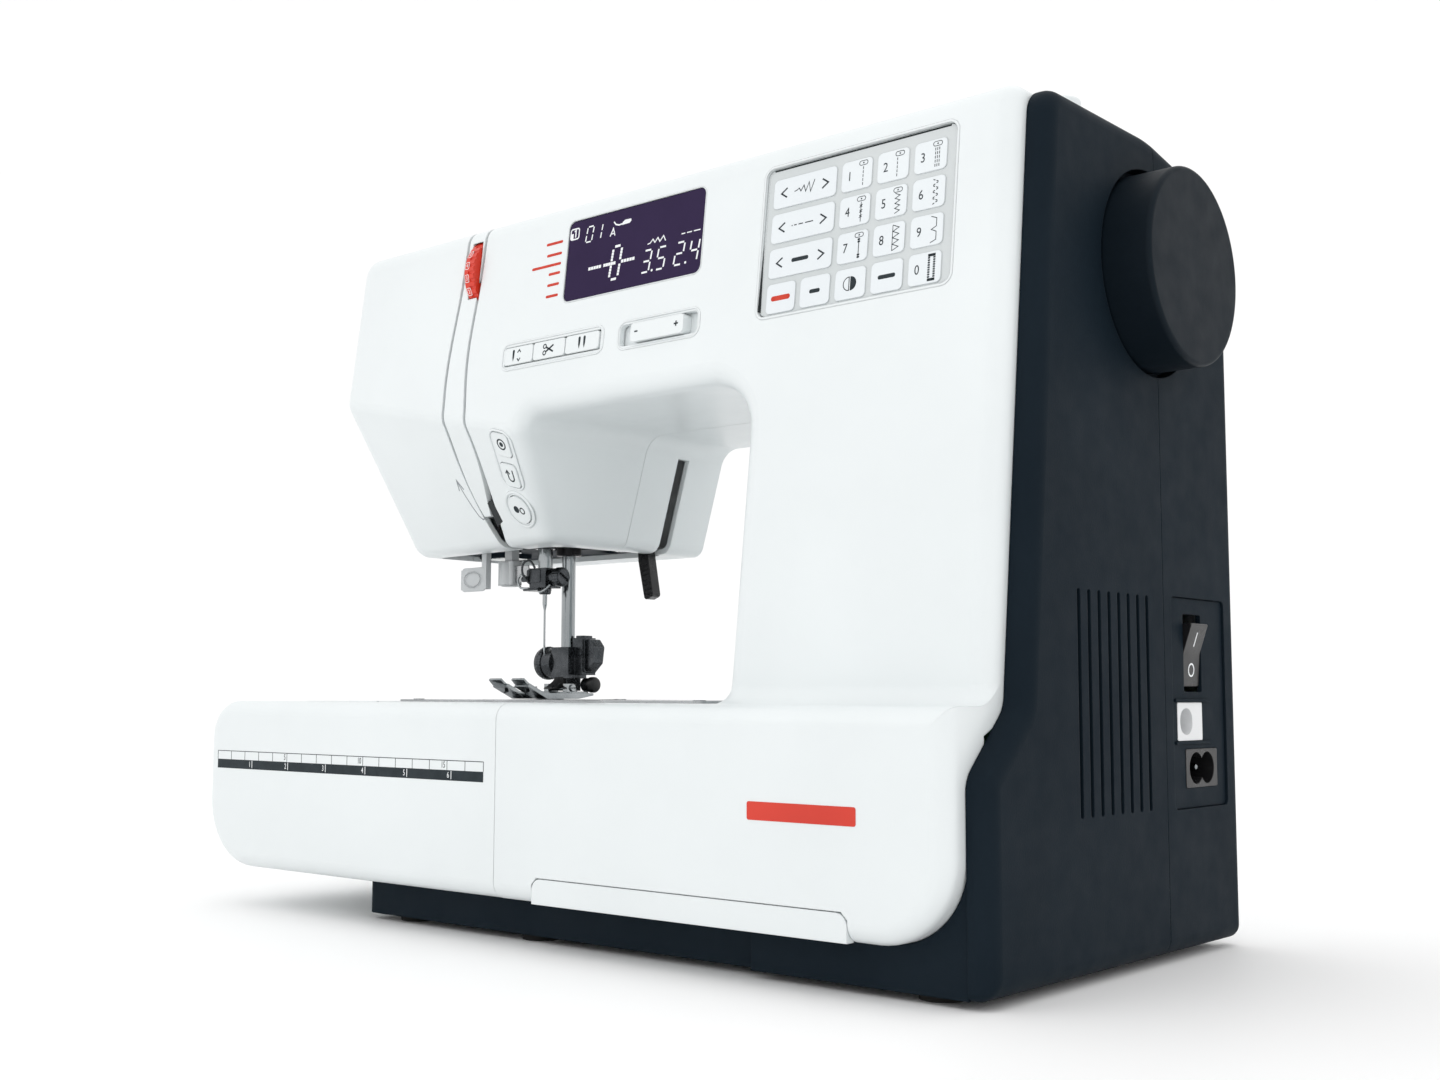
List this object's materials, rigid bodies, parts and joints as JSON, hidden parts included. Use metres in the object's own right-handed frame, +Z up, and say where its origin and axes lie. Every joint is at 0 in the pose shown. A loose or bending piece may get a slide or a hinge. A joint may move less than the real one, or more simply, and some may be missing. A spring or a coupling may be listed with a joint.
{
  "type": "sewing machine",
  "caption": "Computerised free-arm household sewing machine with display, keypad, handwheel, needle and presser mechanism, and a pull-off accessory box.",
  "frame": {"origin": "on the table, under the centre of the outline", "axes": "+X towards the handwheel, -Y towards the user, +Z up"},
  "size_m": [0.396, 0.18, 0.292],
  "materials": {
    "white": "satin",
    "dark": "fine grain",
    "rubber": "matt",
    "black": "satin",
    "pale_grey": "satin",
    "red": "satin",
    "lcd": "gloss",
    "smoke": "gloss",
    "plate_metal": "brushed",
    "chrome": "polished",
    "dark_metal": "blackened",
    "cast": "as cast",
    "board": "satin",
    "belt": "matt",
    "case": "satin",
    "clear": "gloss"
  },
  "bodies": {
    "body": {"base_pan": "dark", "bed_plate": "plate_metal", "bobbin_case": "case", "cast_frame": "cast", "channel_strip": "white", "circuit_boards": "board", "drive_belts": "belt", "drive_motor": "cast", "face_cover": "white", "free_arm_cover": "white", "front_cover": "white", "head_plate": "dark", "keypad": "pale_grey", "lcd_window": "lcd", "mains_inlet": "black", "needle_plate": "plate_metal", "pedal_socket": "pale_grey", "rear_cover": "white", "rubber_feet": "rubber", "side_cover_front": "dark", "side_cover_rear": "dark", "socket_panel": "dark", "spool_pin": "black", "top_cover": "white", "winder_stop": "white"},
    "shaft": {"handwheel": "dark", "main_shaft": "dark_metal"},
    "motor_rotor": {"motor_pulley": "dark_metal"},
    "lower": {"lower_shaft": "dark_metal"},
    "hook_body": {"hook": "dark_metal"},
    "bobbin_body": {"bobbin": "clear"},
    "needle_frame": {"needle_bar_frame": "cast"},
    "needle_assembly": {"needle_bar": "chrome", "needle_clamp": "chrome", "needle": "chrome"},
    "presser": {"presser_bar": "chrome", "foot_shank": "dark_metal", "foot_screw": "dark_metal"},
    "foot": {"presser_foot": "chrome"},
    "lifter": {"presser_lifter": "black"},
    "take_up": {"take_up_lever": "chrome"},
    "dial": {"tension_dial": "red"},
    "btn_needle": {"button_needle": "white"},
    "btn_cut": {"button_cut": "white"},
    "btn_twin": {"button_twin": "white"},
    "btn_lock": {"lock_button": "white"},
    "btn_reverse": {"reverse_button": "white"},
    "btn_start": {"start_button": "white"},
    "slider": {"speed_slider": "white"},
    "rocker": {"rocker_switch": "black"},
    "accessory": {"accessory_box": "white"},
    "lid": {"box_lid": "white"},
    "chart": {"chart_tray": "white"},
    "handle": {"carrying_handle": "dark"},
    "winder": {"winder_spindle": "black"},
    "cap": {"spool_cap": "pale_grey"},
    "slide_cover": {"bobbin_cover": "smoke"},
    "feed": {"feed_dog": "plate_metal"},
    "buttonhole": {"buttonhole_lever": "pale_grey"},
    "threader": {"needle_threader": "pale_grey"}
  },
  "joints": [
    {"name": "handwheel_spin", "type": "hinge", "parent": "body", "child": "shaft", "pos_m": [0.1, 0.0275, 0.23], "axis": [1, 0, 0], "continuous": true},
    {"name": "motor_spin", "type": "hinge", "parent": "body", "child": "motor_rotor", "pos_m": [0.12, -0.01, 0.12], "axis": [1, 0, 0], "continuous": true},
    {"name": "lower_shaft_spin", "type": "hinge", "parent": "body", "child": "lower", "pos_m": [0.01, -0.02, 0.046], "axis": [1, 0, 0], "continuous": true},
    {"name": "hook_spin", "type": "hinge", "parent": "body", "child": "hook_body", "pos_m": [-0.088, -0.02, 0.06], "axis": [0, 0, 1], "continuous": true},
    {"name": "bobbin_spin", "type": "hinge", "parent": "body", "child": "bobbin_body", "pos_m": [-0.088, -0.02, 0.073], "axis": [0, 0, 1], "continuous": true},
    {"name": "needle_swing", "type": "hinge", "parent": "body", "child": "needle_frame", "pos_m": [-0.088, 0.002, 0.262], "axis": [0, 1, 0], "range_deg": [-1.2, 1.2]},
    {"name": "needle_drive", "type": "slide", "parent": "needle_frame", "child": "needle_assembly", "axis": [0, 0, -1], "range_m": [0, 0.026]},
    {"name": "presser_lift", "type": "slide", "parent": "body", "child": "presser", "axis": [0, 0, 1], "range_m": [0, 0.0059]},
    {"name": "foot_tilt", "type": "hinge", "parent": "presser", "child": "foot", "pos_m": [-0.088, 0.012, 0.0904], "axis": [1, 0, 0], "range_deg": [-6, 0]},
    {"name": "lifter_turn", "type": "hinge", "parent": "body", "child": "lifter", "pos_m": [-0.084, 0.041, 0.168], "axis": [0, 1, 0], "range_deg": [-50, 0]},
    {"name": "take_up_rock", "type": "hinge", "parent": "body", "child": "take_up", "pos_m": [-0.0833, 0.01, 0.226], "axis": [1, 0, 0], "range_deg": [-9, 6]},
    {"name": "tension_turn", "type": "hinge", "parent": "body", "child": "dial", "pos_m": [-0.078, -0.03374, 0.259], "axis": [1, 0, 0], "range_deg": [-150, 150]},
    {"name": "press_needle", "type": "slide", "parent": "body", "child": "btn_needle", "axis": [0, 0.9937, -0.1123], "range_m": [0, 0.001], "stiffness_N_per_m": 300, "springref_m": -0.001},
    {"name": "press_cut", "type": "slide", "parent": "body", "child": "btn_cut", "axis": [0, 0.9937, -0.1123], "range_m": [0, 0.001], "stiffness_N_per_m": 300, "springref_m": -0.001},
    {"name": "press_twin", "type": "slide", "parent": "body", "child": "btn_twin", "axis": [0, 0.9937, -0.1123], "range_m": [0, 0.001], "stiffness_N_per_m": 300, "springref_m": -0.001},
    {"name": "press_lock", "type": "slide", "parent": "body", "child": "btn_lock", "axis": [0.1299, 0.824, 0.5515], "range_m": [0, 0.001], "stiffness_N_per_m": 300, "springref_m": -0.001},
    {"name": "press_reverse", "type": "slide", "parent": "body", "child": "btn_reverse", "axis": [0.1299, 0.824, 0.5515], "range_m": [0, 0.001], "stiffness_N_per_m": 300, "springref_m": -0.001},
    {"name": "press_start", "type": "slide", "parent": "body", "child": "btn_start", "axis": [0.1299, 0.824, 0.5515], "range_m": [0, 0.001], "stiffness_N_per_m": 300, "springref_m": -0.001},
    {"name": "speed_slide", "type": "slide", "parent": "body", "child": "slider", "axis": [1, 0, 0], "range_m": [-0.005, 0.0045]},
    {"name": "switch_rock", "type": "hinge", "parent": "body", "child": "rocker", "pos_m": [0.1755, 0.0541, 0.1023], "axis": [0, 1, 0], "range_deg": [-16, 0]},
    {"name": "box_slide", "type": "slide", "parent": "body", "child": "accessory", "axis": [-1, 0, 0], "range_m": [0, 0.19]},
    {"name": "lid_hinge", "type": "hinge", "parent": "accessory", "child": "lid", "pos_m": [-0.103, -0.0503, 0.0844], "axis": [1, 0, 0], "range_deg": [-100, 0]},
    {"name": "chart_slide", "type": "slide", "parent": "body", "child": "chart", "axis": [0, -1, 0], "range_m": [0, 0.09]},
    {"name": "handle_hinge", "type": "hinge", "parent": "body", "child": "handle", "pos_m": [0.031, 0.029, 0.273], "axis": [1, 0, 0], "range_deg": [0, 90]},
    {"name": "winder_spin", "type": "hinge", "parent": "body", "child": "winder", "pos_m": [0.132, 0, 0.28], "axis": [0, 0, 1], "continuous": true},
    {"name": "spool_cap_slide", "type": "slide", "parent": "body", "child": "cap", "axis": [1, 0, 0], "range_m": [-0.07, 0.015]},
    {"name": "bobbin_cover_lift", "type": "slide", "parent": "body", "child": "slide_cover", "axis": [0, 0, 1], "range_m": [0, 0.012]},
    {"name": "feed_lift", "type": "slide", "parent": "body", "child": "feed", "axis": [0, 0, 1], "range_m": [0, 0.0006]},
    {"name": "buttonhole_slide", "type": "slide", "parent": "body", "child": "buttonhole", "axis": [0, 0, -1], "range_m": [0, 0.02]},
    {"name": "threader_slide", "type": "slide", "parent": "body", "child": "threader", "axis": [0, 0, -1], "range_m": [0, 0.018], "stiffness_N_per_m": 20, "springref_m": -0.01}
  ],
  "couplings": [
    {"joint": "motor_spin", "follows": "handwheel_spin", "ratio": 4.3333},
    {"joint": "lower_shaft_spin", "follows": "handwheel_spin", "ratio": 1},
    {"joint": "hook_spin", "follows": "handwheel_spin", "ratio": 2},
    {"joint": "lifter_turn", "follows": "presser_lift", "rad_per_m": -147.06}
  ]
}
